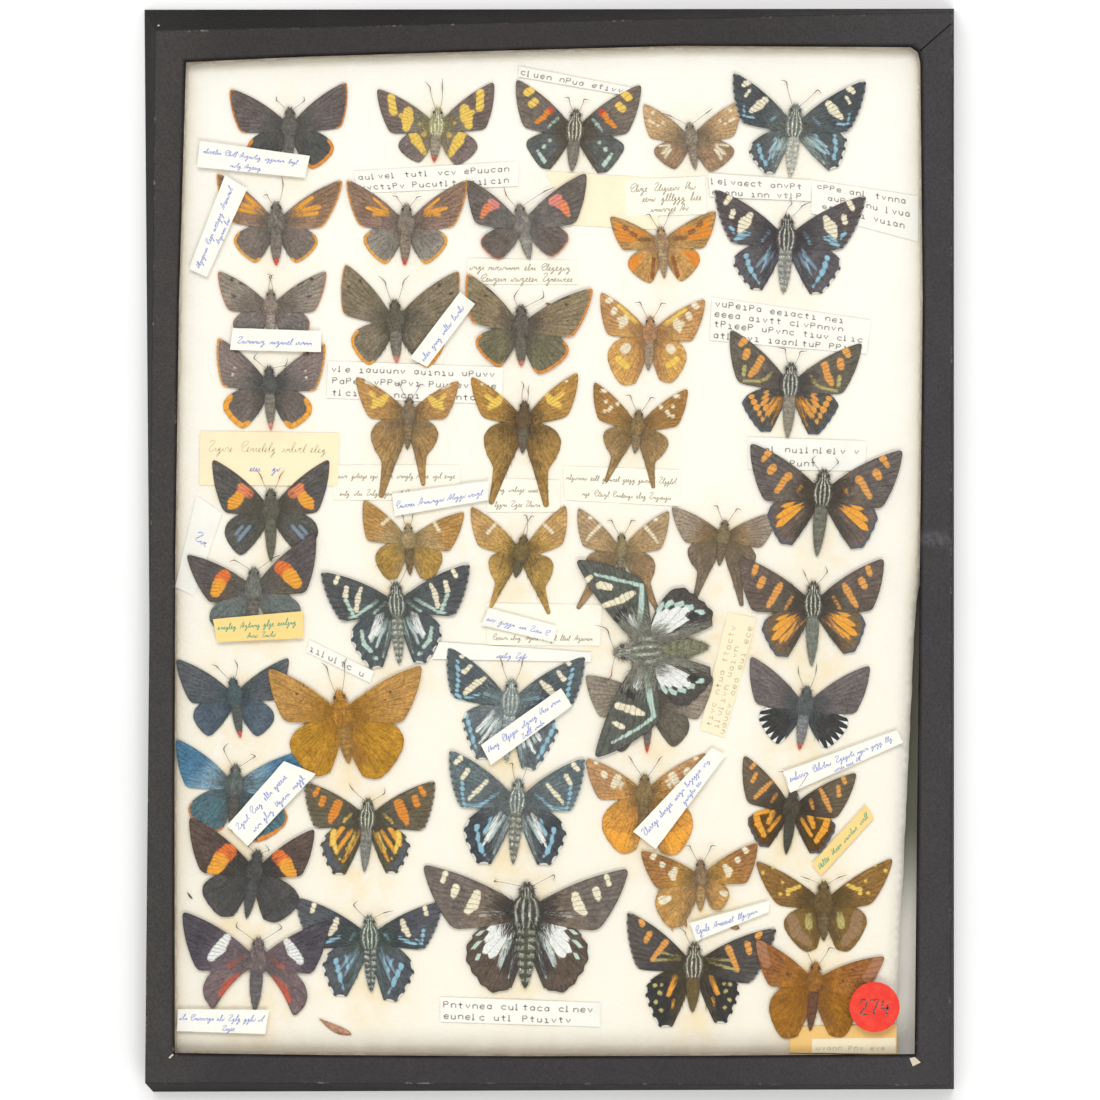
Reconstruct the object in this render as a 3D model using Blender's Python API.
"""A glass-topped case of pinned and set skippers, lying on its back.

Frame: metres, +X right, +Y up the case as it is read, +Z out through the glass. The
footprint is centred on the origin and the underside of the tray is Z = 0. Lengths in
the constants below are millimetres.
"""

import math

import bmesh
import bpy
from mathutils import Vector
from mathutils.geometry import delaunay_2d_cdt

MM = 0.001

# Driving heights of the case, from the underside up.
CASE_HEIGHT = 19.05
SKIRT_FOOT = 0.8
FRAME_UNDERSIDE = 17.2
TRAY_RIM = 14.8
TRAY_FLOOR = 1.5
GLASS_UNDERSIDE = 15.2
GLASS_THICKNESS = 1.7
WADDING_UNDERSIDE = 1.8
WADDING_TOP = 11.95
WADDING_ROUNDING = 1.6

# Card thicknesses and the play between the telescoping halves.
SKIRT_WALL = 1.6
TRAY_WALL = 2.0
PLAY = 0.5

# Heights and thicknesses of what lies on the wadding.
LABEL_UNDERSIDE = 12.05
LABEL_THICKNESS = 0.15
WING_UNDERSIDE = 12.3
WING_THICKNESS = 0.4
LEVEL_STEP = 0.7
BODY_HEIGHT_MOST = 2.1
BODY_HEIGHT_PER_WING = 0.085
BODY_TOP_MOST = 14.9
LOW_BODY_TOP = 13.35
RIDGE_LEAST = 0.3

# Red number sticker on the glass.
STICKER_RADIUS = 9.4
STICKER_THICKNESS = 0.15
STICKER_GAP = 0.1
STICKER_CENTRE = (121.3, -170.3)
STICKER_SIDES = 24

# Corners, from top left clockwise: the lid's foot, the lid's top edge.
LID_FOOT = ((-152.0, 203.0), (152.0, 203.4), (152.0, -202.4), (-148.8, -203.4))
LID_TOP = ((-146.8, 193.4), (150.4, 200.5), (149.6, -199.5), (-150.6, -198.4))

# The skirt leans and twists; this outline is inside it at every height.
CLEAR_OF_SKIRT = ((-146.8, 193.4), (150.4, 200.5), (149.6, -199.5), (-148.8, -198.4))

# The paper-wrapped window edge isn't straight: four points a side, clockwise.
WINDOW = (
    ((-135.4, 181.9), (-92.8, 183.9), (-18.3, 186.2), (48.7, 188.0)),
    ((134.0, 187.4), (138.2, 182.0), (139.2, 93.2), (138.5, -3.6)),
    ((136.2, -187.8), (60.0, -188.4), (-7.2, -188.6), (-80.0, -188.2)),
    ((-139.6, -187.4), (-139.7, -90.0), (-139.4, 0.0), (-138.0, 93.2)),
)

# The wadding has drawn away from the lower part of its right wall: the height on the
# wall where it starts to, points down its edge, and how far right its corner lies.
WADDING_LEAVES_WALL = 20.0
WADDING_RIGHT_EDGE = ((137.5, -20.0), (134.0, -93.4), (131.2, -150.0))
WADDING_CORNER = 129.7

CARD_BLACK = (0.045, 0.04, 0.04, 1.0)
PAPER_GREY = (0.3, 0.29, 0.28, 1.0)
WADDING_WHITE = (0.88, 0.85, 0.76, 1.0)
LABEL_WHITE = (0.87, 0.85, 0.8, 1.0)
LABEL_CREAM = (0.85, 0.76, 0.56, 1.0)
STICKER_RED = (0.85, 0.07, 0.04, 1.0)
GLASS_CLEAR = (0.97, 0.98, 0.97, 1.0)

BLACK = (0.03, 0.03, 0.032, 1.0)
BROWN = (0.06, 0.04, 0.03, 1.0)
OLIVE = (0.09, 0.07, 0.045, 1.0)
GOLD = (0.33, 0.2, 0.07, 1.0)
RUST = (0.36, 0.15, 0.04, 1.0)
BLUE = (0.04, 0.1, 0.16, 1.0)
SLATE = (0.05, 0.06, 0.075, 1.0)

# Labels that lie flat under the insects: name, colour, corners clockwise from top left.
LABELS = (
    ("label_typed_top", LABEL_WHITE,
     ((-73.3, 141.6), (-11.3, 145.4), (-11.7, 136.1), (-71.4, 133.4))),
    ("label_typed_top_right", LABEL_WHITE,
     ((98.1, 138.3), (138.0, 132.3), (137.8, 115.2), (97.8, 126.0))),
    ("label_typed_three_lines", LABEL_WHITE,
     ((-82.6, 70.7), (-17.3, 68.4), (-17.6, 54.6), (-83.4, 56.9))),
    ("label_cream_left", LABEL_CREAM,
     ((-130.4, 44.5), (-78.5, 43.8), (-78.9, 24.0), (-130.8, 24.4))),
    ("label_typed_right", LABEL_WHITE,
     ((74.2, 42.3), (118.7, 40.8), (117.9, 29.6), (74.2, 30.3))),
    ("label_typed_four_lines", LABEL_WHITE,
     ((60.8, 94.6), (120.2, 86.0), (118.7, 73.3), (60.0, 78.5))),
    ("label_typed_bottom", LABEL_WHITE,
     ((-40.8, -166.9), (19.3, -169.1), (19.0, -178.1), (-40.8, -176.2))),
    ("label_slip_left_edge", LABEL_WHITE,
     ((-131.9, 20.6), (-122.2, 13.9), (-132.7, -17.1), (-139.8, -13.7))),
)

# One row an insect: name, colour, hindwing kind, level, then points in millimetres
# (thorax, abdomen tip, left and right forewing tips, left and right hindwing tips), then
# where the forewing's rear corner and the hindwing's outer corner fall, as a share of
# the wing's length along it and across it. Insects on a higher level lie over others.
INSECTS = (
    ("s01_black_orange_edge", BLACK, "oval", 0, (-97, 158.5), (-97.5, 142.5),
     (-119, 172), (-76, 174.5), (-104, 143), (-89.5, 142.5), (.51, .45), (.71, .76)),
    ("s02_yellow_bands", BROWN, "oval", 0, (-42, 158.5), (-43, 145.5),
     (-64, 172), (-21, 174.5), (-48, 145), (-35.5, 144), (.46, .44), (.72, .81)),
    ("s03_red_crescent", BLACK, "lobed", 0, (9.5, 157), (8.5, 142),
     (-12, 175.5), (34, 173.5), (-2, 142.5), (20.5, 141), (.47, .40), (.75, .71)),
    ("s04_small_brown", GOLD, "oval", 0, (53, 154), (54.5, 142.5),
     (35.5, 166.5), (71, 167.5), (47.5, 142.5), (59.5, 141.5), (.53, .40), (.70, 1.0)),
    ("s05_blue_black_windows", SLATE, "lobed", 1, (91.5, 158.5), (90, 140),
     (69, 178), (118, 175), (81.5, 140.5), (107, 142.5), (.47, .39), (.70, .58)),
    ("s06_orange_rays", BROWN, "oval", 0, (-102, 122.5), (-102, 107),
     (-124, 140.5), (-77.5, 138), (-109, 107.5), (-95.5, 107.5), (.41, .36), (.62, .83)),
    ("s07_orange_rays", BROWN, "oval", 0, (-53.5, 122), (-54, 107),
     (-75.5, 138), (-30.8, 138), (-60.5, 107), (-47, 107), (.44, .39), (.56, .85)),
    ("s08_pink_patch", BLACK, "oval", 1, (-10, 122), (-7.5, 109),
     (-30.2, 138), (13.5, 140.5), (-18, 108.5), (0, 109.5), (.47, .40), (.82, .79)),
    ("s09_amber", GOLD, "oval", 0, (42, 115), (43, 102),
     (23, 124.5), (62, 126.5), (38.5, 100), (48.5, 100.5), (.50, .42), (.56, .76)),
    ("s10_blue_black_windows", SLATE, "lobed", 0, (88.5, 116.5), (87.5, 96.5),
     (62, 134.5), (118, 132), (76.5, 97), (100.5, 95.5), (.44, .40), (.69, .63)),
    ("s11_grey_black", BROWN, "oval", 0, (-104, 91), (-104, 76.5),
     (-123.5, 104), (-83.5, 104), (-111.5, 76.5), (-96, 76.5), (.47, .42), (.61, .69)),
    ("s12_olive_orange_edge", OLIVE, "oval", 0, (-57.5, 86), (-57, 70.5),
     (-76, 106.5), (-34, 104), (-66.5, 69), (-46.5, 68), (.47, .45), (.60, .68)),
    ("s13_olive_orange_edge", OLIVE, "oval", 1, (-10.5, 84), (-10.5, 69),
     (-30.5, 103), (16, 97.5), (-18, 68.5), (-5, 66), (.46, .42), (.60, .87)),
    ("s14_brown_cream_spots", OLIVE, "broad", 0, (37.5, 81), (37, 67.5),
     (19.5, 96), (58, 93.5), (28.5, 61.5), (44.5, 62.5), (.44, .44), (.47, .56)),
    ("s15_broad_orange_edge", BLACK, "oval", 0, (-104.5, 62), (-104, 45.5),
     (-123.5, 79), (-84, 77), (-113.5, 45.5), (-97.5, 45.5), (.43, .47), (.71, .71)),
    ("s16_orange_bands", BLACK, "lobed", 0, (90, 62), (89, 42.5),
     (68, 82), (116.5, 77), (80, 44), (99.5, 43), (.44, .41), (.60, .69)),
    ("s17_gold_long_tails", GOLD, "tailed", 0, (-52.5, 51), (-53, 38),
     (-72, 64.5), (-34, 63), (-63, 19.5), (-47, 24), (.41, .40), (.25, .33)),
    ("s18_gold_long_tails", GOLD, "tailed", 0, (-9.5, 49), (-10, 36.5),
     (-29, 64.5), (10.5, 66), (-22, 17), (-1, 16), (.44, .35), (.23, .33)),
    ("s19_brown_long_tails", OLIVE, "tailed", 0, (33, 46.5), (32, 36.5),
     (17, 62.5), (51.5, 60), (21, 25.5), (39, 23), (.47, .37), (.27, .41)),
    ("s20_orange_bands", BLACK, "lobed", 1, (102, 21.5), (100, -1.5),
     (75.5, 39.5), (131.5, 37), (87.5, 2), (116, 0.5), (.45, .46), (.66, .57)),
    ("s21_orange_patch", BLACK, "oval", 0, (-104, 15.5), (-104, -3.5),
     (-125.5, 33.5), (-82.5, 33.5), (-114.5, -2), (-93, -2), (.38, .42), (.65, .61)),
    ("s22_tan_cream_line", GOLD, "broad", 0, (-52.5, 4), (-52, -9),
     (-69, 18.5), (-32, 14), (-59.5, -11), (-45.5, -11), (.46, .47), (.51, .59)),
    ("s23_tan_long_tails", GOLD, "tailed", 0, (-10.5, -0.5), (-12.5, -10),
     (-29, 16), (6, 16.5), (-22, -21.5), (0, -24), (.48, .36), (.24, .38)),
    ("s24_tan_long_tails", GOLD, "tailed", 0, (27, 0.5), (27, -11),
     (11, 15.5), (44.5, 14.5), (10.5, -22), (40.5, -22.5), (.45, .40), (.31, .32)),
    ("s25_brown_long_tails", OLIVE, "tailed", 0, (65, 5.5), (63.5, -5.5),
     (46, 16), (85.5, 14), (54, -19), (72, -21), (.45, .43), (.31, .37)),
    ("s26_orange_patch", BLACK, "oval", 1, (-110.5, -14), (-111, -30),
     (-135, -2), (-87.5, 6), (-117.5, -32), (-100.5, -30.5), (.38, .45), (.75, .67)),
    ("s27_striped_body", SLATE, "lobed", 1, (-57, -20), (-56, -42),
     (-85, -8.5), (-30, -5.5), (-65.5, -44.5), (-47.5, -42.5), (.50, .47), (.57, .51)),
    ("s28_orange_bands", BLACK, "lobed", 1, (98.5, -20), (98, -42.5),
     (71.5, -3), (124.5, -3.5), (86, -40), (113, -38.5), (.50, .45), (.66, .56)),
    ("s29_large_underside", SLATE, "lobed", 2, (35.5, -37.5), (59, -36),
     (17.5, -77), (10.5, -4), (61, -47), (61.5, -24.5), (.45, .36), (.69, .60)),
    ("s30_blue_black", BLUE, "oval", 0, (-117.5, -54), (-115.5, -69.5),
     (-139, -41), (-97.5, -40.5), (-126.5, -69.5), (-110, -69.5), (.43, .43), (.69, .64)),
    ("s31_large_amber", RUST, "broad", 1, (-77.5, -61), (-75, -79),
     (-104.5, -44.5), (-48, -43.5), (-86, -84.5), (-65, -85.5), (.47, .42), (.55, .66)),
    ("s32_striped_body", SLATE, "lobed", 0, (-14.5, -56.5), (-16, -78.5),
     (-37.5, -36.5), (13, -40), (-26, -78.5), (-7, -82.5), (.52, .42), (.44, .57)),
    ("s33_brown_underneath", BROWN, "oval", 0, (37, -55), (36.5, -75),
     (14, -47), (61, -47.5), (28, -75.5), (45.5, -73.5), (.55, .55), (.68, .53)),
    ("s34_white_ray_fringe", BROWN, "oval", 0, (95.5, -58), (93.5, -74),
     (75.5, -40), (119.5, -43.5), (86, -72.5), (102.5, -74), (.46, .43), (.55, .84)),
    ("s35_deep_blue", BLUE, "broad", 0, (-117.5, -87.5), (-118.5, -104.5),
     (-139, -71), (-90.5, -75), (-125, -105), (-110.5, -109), (.45, .43), (.71, .74)),
    ("s36_yellow_streaks", BLACK, "lobed", 0, (-68, -100), (-69, -119.5),
     (-91, -87), (-43, -86.5), (-79.5, -121.5), (-58, -121), (.52, .50), (.63, .47)),
    ("s37_striped_body", SLATE, "lobed", 1, (-12, -93.5), (-13.5, -116.5),
     (-37, -75), (13, -78), (-25.5, -117.5), (-1, -118), (.45, .47), (.61, .48)),
    ("s38_orange_cream_spots", RUST, "broad", 0, (35.5, -90.5), (35, -106.5),
     (14, -78), (58.5, -76), (28.5, -113.5), (46, -114), (.48, .43), (.53, .52)),
    ("s39_orange_bands", BLACK, "lobed", 0, (90.5, -96), (88.5, -113),
     (73, -77), (114.5, -83.5), (79.5, -111), (100, -113.5), (.42, .41), (.64, .64)),
    ("s40_orange_patch", BLACK, "broad", 1, (-110, -119.5), (-113, -137),
     (-134, -100), (-88, -104.5), (-121.5, -137), (-103.5, -139), (.43, .42), (.67, .69)),
    ("s41_worn_brown", GOLD, "broad", 1, (56.5, -122), (56.5, -134.5),
     (34.5, -112.5), (77.5, -109.5), (46, -141), (63, -134.5), (.50, .44), (.60, .55)),
    ("s42_olive_cream_specks", OLIVE, "broad", 0, (102.5, -131.5), (102.5, -145.5),
     (77.5, -116.5), (128, -115.5), (97, -150), (110.5, -150), (.43, .32), (.42, .69)),
    ("s43_red_brown_patches", BROWN, "slim", 1, (-109, -153), (-110, -171.5),
     (-136.5, -135.5), (-82.5, -139), (-125, -171.5), (-96, -174), (.46, .47), (.83, .42)),
    ("s44_blue_streaks", SLATE, "lobed", 0, (-67, -144.5), (-66.5, -164.5),
     (-94.5, -130), (-40, -131.5), (-79, -167), (-58.5, -169), (.49, .44), (.58, .47)),
    ("s45_large_grey_white", OLIVE, "broad", 1, (-8.5, -135), (-9, -162.5),
     (-46.5, -118), (29, -119.5), (-19.5, -165.5), (3.5, -165.5), (.49, .41), (.55, .55)),
    ("s46_orange_windows", BLACK, "lobed", 0, (54, -155), (53.5, -172),
     (29.5, -135.5), (84.5, -141.5), (42.5, -178.5), (65, -177), (.44, .45), (.52, .51)),
    ("s47_rust", RUST, "broad", 1, (99, -161), (97.5, -179),
     (77.5, -145.5), (125, -152), (88.5, -182.5), (108.5, -182), (.42, .42), (.47, .51)),
)

# Insects whose back has to stay low, because another lies right over it.
LOW_BACKED = ("s24_tan_long_tails", "s33_brown_underneath")

# Forewings drawn out longer than the rest.
LONG_WINGED = ("s29_large_underside", "s42_olive_cream_specks", "s45_large_grey_white")


def forewing(rear, is_long):
    """Corners of a forewing: along, across, rounding, bulge of the edge that follows."""
    costa = 0.05 if is_long else 0.06
    along, across = rear
    return (
        (0.0, -0.04, 0.0, costa),
        (1.03, -0.01, 0.07, 0.06),
        (along + 0.01, across + 0.03, 0.07, 0.03),
        (0.0, 0.12, 0.0, 0.0),
    )


def hindwing(kind, outer):
    """Corners of a hindwing, measured from its root to its tip and outwards."""
    along, across = outer
    if kind == "tailed":
        return (
            (0.0, 0.06, 0.0, 0.12),
            (along, across + 0.02, 0.08, 0.10),
            (0.56, 0.12, 0.05, -0.02),
            (1.0, 0.03, 0.0, 0.0),
            (1.0, -0.03, 0.0, 0.0),
            (0.5, -0.06, 0.0, 0.04),
            (0.0, -0.06, 0.0, 0.0),
        )
    if kind == "lobed":
        return (
            (0.0, 0.12, 0.0, 0.11),
            (along + 0.02, across + 0.04, 0.14, 0.04),
            (1.03, 0.05, 0.09, 0.02),
            (0.92, -0.13, 0.0, 0.02),
            (0.0, -0.10, 0.0, 0.0),
        )
    if kind == "broad":
        return (
            (0.0, 0.12, 0.0, 0.12),
            (along + 0.04, across + 0.05, 0.20, 0.08),
            (1.04, 0.06, 0.12, 0.05),
            (0.88, -0.16, 0.0, 0.04),
            (0.0, -0.12, 0.0, 0.0),
        )
    if kind == "slim":
        return (
            (0.0, 0.16, 0.0, 0.14),
            (along + 0.02, across + 0.02, 0.18, 0.08),
            (1.03, 0.0, 0.10, -0.06),
            (0.0, -0.02, 0.0, 0.0),
        )
    return (
        (0.0, 0.12, 0.0, 0.13),
        (along + 0.04, across + 0.05, 0.20, 0.09),
        (1.05, 0.02, 0.13, 0.06),
        (0.0, -0.12, 0.0, 0.0),
    )


def bulged_outline(corners):
    """A closed outline through the corners, its edges bulged and its corners rounded."""
    count = len(corners)
    points = [Vector(corner[:2]) for corner in corners]
    turning = sum(points[i - 1].cross(points[i]) for i in range(count))
    outward = 1.0 if turning > 0.0 else -1.0

    def on_edge(i, share):
        start, end = points[i], points[(i + 1) % count]
        side = end - start
        normal = Vector((side.y, -side.x)) * outward
        middle = (start + end) / 2.0 + normal * 2.0 * corners[i][3]
        return ((1 - share) ** 2 * start + 2 * share * (1 - share) * middle
                + share * share * end)

    def cut(i, corner):
        length = (points[(i + 1) % count] - points[i]).length
        return min(0.42, corners[corner % count][2] / length)

    outline = []
    for i in range(count):
        first, last = cut(i, i), 1.0 - cut(i, i + 1)
        outline.append(on_edge(i, first))
        if abs(corners[i][3]) >= 0.02:
            outline.append(on_edge(i, (first + last) / 2.0))
        if corners[(i + 1) % count][2] > 0.0:
            outline.append(on_edge(i, last))
    return outline


def laid(outline, root, tip, hand):
    """The outline laid from root to tip. Hand is the side its across axis points to."""
    along = tip - root
    across = Vector((along.y, -along.x)) * hand
    return [root + along * point.x + across * point.y for point in outline]


def body_outline(thorax, ahead, wing, back):
    """Head, thorax and tapering abdomen from above, as a closed outline."""
    right = Vector((ahead.y, -ahead.x))
    halves = (
        (0.24 * wing, 0.035 * wing),
        (0.15 * wing, 0.065 * wing),
        (0.08 * wing, 0.115 * wing),
        (-0.08 * wing, 0.11 * wing),
        (-0.55 * back, 0.07 * wing),
        (-1.0 * back, 0.02 * wing),
    )
    edge = [thorax + ahead * a + right * b for a, b in halves]
    return edge + [thorax + ahead * a - right * b for a, b in reversed(halves)]


def inside(point, loop):
    """Whether the point is inside the loop, by counting crossings."""
    found = False
    for a, b in zip(loop, loop[1:] + loop[:1]):
        if (a.y > point.y) != (b.y > point.y):
            if point.x < (b.x - a.x) * (point.y - a.y) / (b.y - a.y) + a.x:
                found = not found
    return found


def union_loops(outlines):
    """The border of the outlines' union, as loops of points."""
    points = [point for outline in outlines for point in outline]
    faces, start = [], 0
    for outline in outlines:
        faces.append(list(range(start, start + len(outline))))
        start += len(outline)
    verts, _, triangles, _, _, sources = delaunay_2d_cdt(points, [], faces, 1, 1e-5)
    following = {}
    kept = [tri for tri, source in zip(triangles, sources) if source]
    ends = {(tri[i - 1], tri[i]) for tri in kept for i in range(3)}
    for a, b in ends:
        if (b, a) not in ends:
            following[a] = b
    loops = []
    while following:
        start, at = next(iter(following.items()))
        loop = [start]
        del following[start]
        while at != start:
            loop.append(at)
            at = following.pop(at)
        loops.append([verts[i] for i in loop])
    return [thinned(loop) for loop in loops if len(loop) > 3]


def thinned(loop, closest=0.35):
    """The loop without points that almost coincide with the one before."""
    kept = [loop[0]]
    for point in loop[1:]:
        if (point - kept[-1]).length > closest:
            kept.append(point)
    return kept


def new_object(name, mesh, colour):
    """Links the mesh as a named node with a material of its own."""
    material = bpy.data.materials.new(name)
    material.use_nodes = True
    shader = material.node_tree.nodes["Principled BSDF"]
    shader.inputs["Base Color"].default_value = colour
    shader.inputs["Roughness"].default_value = 0.7
    if name == "glass_pane":
        shader.inputs["Roughness"].default_value = 0.05
        shader.inputs["Alpha"].default_value = 0.25
    mesh.materials.append(material)
    node = bpy.data.objects.new(name, mesh)
    bpy.context.scene.collection.objects.link(node)
    return node


def solid_from_loops(name, loops, colour, is_ring):
    """Bridges loops of (x, y, z) in order. A ring closes on itself, else it is capped."""
    builder = bmesh.new()
    rows = [[builder.verts.new(Vector(p) * MM) for p in loop] for loop in loops]
    steps = len(rows) if is_ring else len(rows) - 1
    for i in range(steps):
        low, high = rows[i], rows[(i + 1) % len(rows)]
        for j in range(len(low)):
            k = (j + 1) % len(low)
            builder.faces.new((low[j], low[k], high[k], high[j]))
    if not is_ring:
        builder.faces.new(rows[0])
        builder.faces.new(rows[-1])
    bmesh.ops.triangulate(builder, faces=builder.faces[:])
    bmesh.ops.recalc_face_normals(builder, faces=builder.faces[:])
    mesh = bpy.data.meshes.new(name)
    builder.to_mesh(mesh)
    builder.free()
    return new_object(name, mesh, colour)


def at_height(loop, height):
    return [(x, y, height) for x, y in loop]


def inset(quad, by):
    """The four-cornered outline moved inwards, given clockwise from the top left."""
    inwards = ((1, -1), (-1, -1), (-1, 1), (1, 1))
    return tuple((x + by * dx, y + by * dy) for (x, y), (dx, dy) in zip(quad, inwards))


def divided(quad):
    """The quad with the window's points carried out to its sides."""
    loop = []
    for i, side in enumerate(WINDOW):
        start, end = Vector(quad[i]), Vector(quad[(i + 1) % 4])
        first, last = Vector(side[0]), Vector(WINDOW[(i + 1) % 4][0])
        for point in side:
            share = (Vector(point) - first).length / (last - first).length
            loop.append(tuple(start.lerp(end, share)))
    return loop


def build_lid():
    window = [point for side in WINDOW for point in side]
    loops = (
        at_height(divided(LID_TOP), CASE_HEIGHT),
        at_height(divided(LID_FOOT), SKIRT_FOOT),
        at_height(divided(inset(LID_FOOT, SKIRT_WALL)), SKIRT_FOOT),
        at_height(divided(inset(LID_TOP, SKIRT_WALL)), FRAME_UNDERSIDE),
        at_height(window, FRAME_UNDERSIDE),
        at_height(window, CASE_HEIGHT),
    )
    solid_from_loops("lid_frame", loops, CARD_BLACK, True)


def build_tray():
    outside = inset(CLEAR_OF_SKIRT, SKIRT_WALL + PLAY)
    within = inset(outside, TRAY_WALL)
    loops = (
        at_height(outside, 0.0),
        at_height(outside, TRAY_RIM),
        at_height(within, TRAY_RIM),
        at_height(within, TRAY_FLOOR),
    )
    solid_from_loops("tray", loops, PAPER_GREY, False)


def build_glass():
    edge = inset(CLEAR_OF_SKIRT, SKIRT_WALL + PLAY)
    loops = [at_height(edge, GLASS_UNDERSIDE),
             at_height(edge, GLASS_UNDERSIDE + GLASS_THICKNESS)]
    solid_from_loops("glass_pane", loops, GLASS_CLEAR, False)


def wadding_edge(by):
    """The wadding's outline with its shrunken right edge, moved inwards."""
    quad = inset(CLEAR_OF_SKIRT, SKIRT_WALL + PLAY + TRAY_WALL + PLAY + by)
    right = [(x - by, y) for x, y in WADDING_RIGHT_EDGE]
    leaves_wall = (quad[1][0], WADDING_LEAVES_WALL)
    corner = (WADDING_CORNER - by, quad[2][1])
    return [quad[0], quad[1], leaves_wall, *right, corner, quad[3]]


def build_wadding():
    loops = (
        at_height(wadding_edge(0.0), WADDING_UNDERSIDE),
        at_height(wadding_edge(0.0), WADDING_TOP - WADDING_ROUNDING),
        at_height(wadding_edge(WADDING_ROUNDING), WADDING_TOP),
    )
    solid_from_loops("wadding", loops, WADDING_WHITE, False)


def build_labels():
    for name, colour, corners in LABELS:
        loops = [at_height(corners, LABEL_UNDERSIDE),
                 at_height(corners, LABEL_UNDERSIDE + LABEL_THICKNESS)]
        solid_from_loops(name, loops, colour, False)


def build_sticker():
    x, y = STICKER_CENTRE
    ring = []
    for i in range(STICKER_SIDES):
        angle = 2.0 * math.pi * i / STICKER_SIDES
        ring.append((x + STICKER_RADIUS * math.cos(angle),
                     y + STICKER_RADIUS * math.sin(angle)))
    foot = GLASS_UNDERSIDE + GLASS_THICKNESS + STICKER_GAP
    loops = [at_height(ring, foot), at_height(ring, foot + STICKER_THICKNESS)]
    solid_from_loops("number_sticker", loops, STICKER_RED, False)


def insect_outlines(row):
    """Outlines of the body and four wings, with what the relief needs."""
    name, _, kind, _, thorax, tail, left, right, low_left, low_right, rear, outer = row
    thorax, tail = Vector(thorax), Vector(tail)
    ahead = (thorax - tail).normalized()
    sideways = Vector((ahead.y, -ahead.x))
    wing = ((Vector(left) - thorax).length + (Vector(right) - thorax).length) / 2.0
    outlines = [body_outline(thorax, ahead, wing, (thorax - tail).length)]
    fore = bulged_outline(forewing(rear, name in LONG_WINGED))
    hind = bulged_outline(hindwing(kind, outer))
    for hand, tip, low_tip in ((-1, left, low_left), (1, right, low_right)):
        root = thorax + sideways * hand * 0.07 * wing
        outlines.append(laid(fore, root + ahead * 0.02 * wing, Vector(tip), hand))
        outlines.append(laid(hind, root - ahead * 0.07 * wing, Vector(low_tip), -hand))
    return outlines, thorax, tail, ahead, wing


def build_insect(row):
    """One solid: a slab with the outline of the wings, and a ridge along the body."""
    name, colour, level = row[0], row[1], row[3]
    outlines, thorax, tail, ahead, wing = insect_outlines(row)
    loops = union_loops(outlines)
    under = WING_UNDERSIDE + level * LEVEL_STEP
    over = under + WING_THICKNESS
    belly = max(WING_UNDERSIDE, under - LEVEL_STEP)
    height = min(BODY_HEIGHT_MOST, BODY_HEIGHT_PER_WING * wing)
    ceiling = LOW_BODY_TOP if name in LOW_BACKED else BODY_TOP_MOST
    crown = min(ceiling, WING_UNDERSIDE + WING_THICKNESS + height)
    back = (thorax - tail).length
    ridge = (
        (0.16 * wing, 0.55), (0.03 * wing, 1.0), (-0.12 * wing, 0.8),
        (-0.55 * back, 0.75), (-0.9 * back, 0.4),
    )
    points, edges = [], []
    for loop in loops:
        first = len(points)
        points += loop
        edges += [(first + i, first + (i + 1) % len(loop)) for i in range(len(loop))]
    spine = len(points)
    points += [thorax + ahead * a for a, _ in ridge]
    edges += [(spine + i, spine + i + 1) for i in range(len(ridge) - 1)]
    verts, _, triangles, sources, _, _ = delaunay_2d_cdt(points, edges, [], 1, 1e-5)
    tops, bottoms = [], []
    for vert, source in zip(verts, sources):
        on_ridge = [i - spine for i in source if i >= spine]
        share = ridge[on_ridge[0]][1] if on_ridge else 0.0
        lift = share * max(RIDGE_LEAST, crown - over)
        tops.append((vert.x, vert.y, min(ceiling, over + lift)))
        bottoms.append((vert.x, vert.y, belly if on_ridge else under))
    kept = [tri for tri in triangles if is_in_union(tri, verts, loops)]
    mesh = closed_relief(name, tops, bottoms, kept)
    new_object(name, mesh, colour)


def is_in_union(tri, verts, loops):
    middle = (verts[tri[0]] + verts[tri[1]] + verts[tri[2]]) / 3.0
    return sum(inside(middle, loop) for loop in loops) % 2 == 1


def closed_relief(name, tops, bottoms, triangles):
    """A closed mesh from a triangulated top, the same bottom and walls between them."""
    builder = bmesh.new()
    high = [builder.verts.new(Vector(p) * MM) for p in tops]
    low = [builder.verts.new(Vector(p) * MM) for p in bottoms]
    ends = {(tri[i - 1], tri[i]) for tri in triangles for i in range(3)}
    for a, b, c in triangles:
        builder.faces.new((high[a], high[b], high[c]))
        builder.faces.new((low[c], low[b], low[a]))
    for a, b in ends:
        if (b, a) not in ends:
            builder.faces.new((high[b], high[a], low[a]))
            builder.faces.new((high[b], low[a], low[b]))
    loose = [vert for vert in builder.verts if not vert.link_faces]
    bmesh.ops.delete(builder, geom=loose, context="VERTS")
    bmesh.ops.recalc_face_normals(builder, faces=builder.faces[:])
    mesh = bpy.data.meshes.new(name)
    builder.to_mesh(mesh)
    builder.free()
    return mesh


def clear_scene():
    for existing in list(bpy.data.objects):
        bpy.data.objects.remove(existing)


def main():
    clear_scene()
    build_tray()
    build_wadding()
    build_lid()
    build_glass()
    build_sticker()
    build_labels()
    for row in INSECTS:
        build_insect(row)


if __name__ == "__main__":
    main()
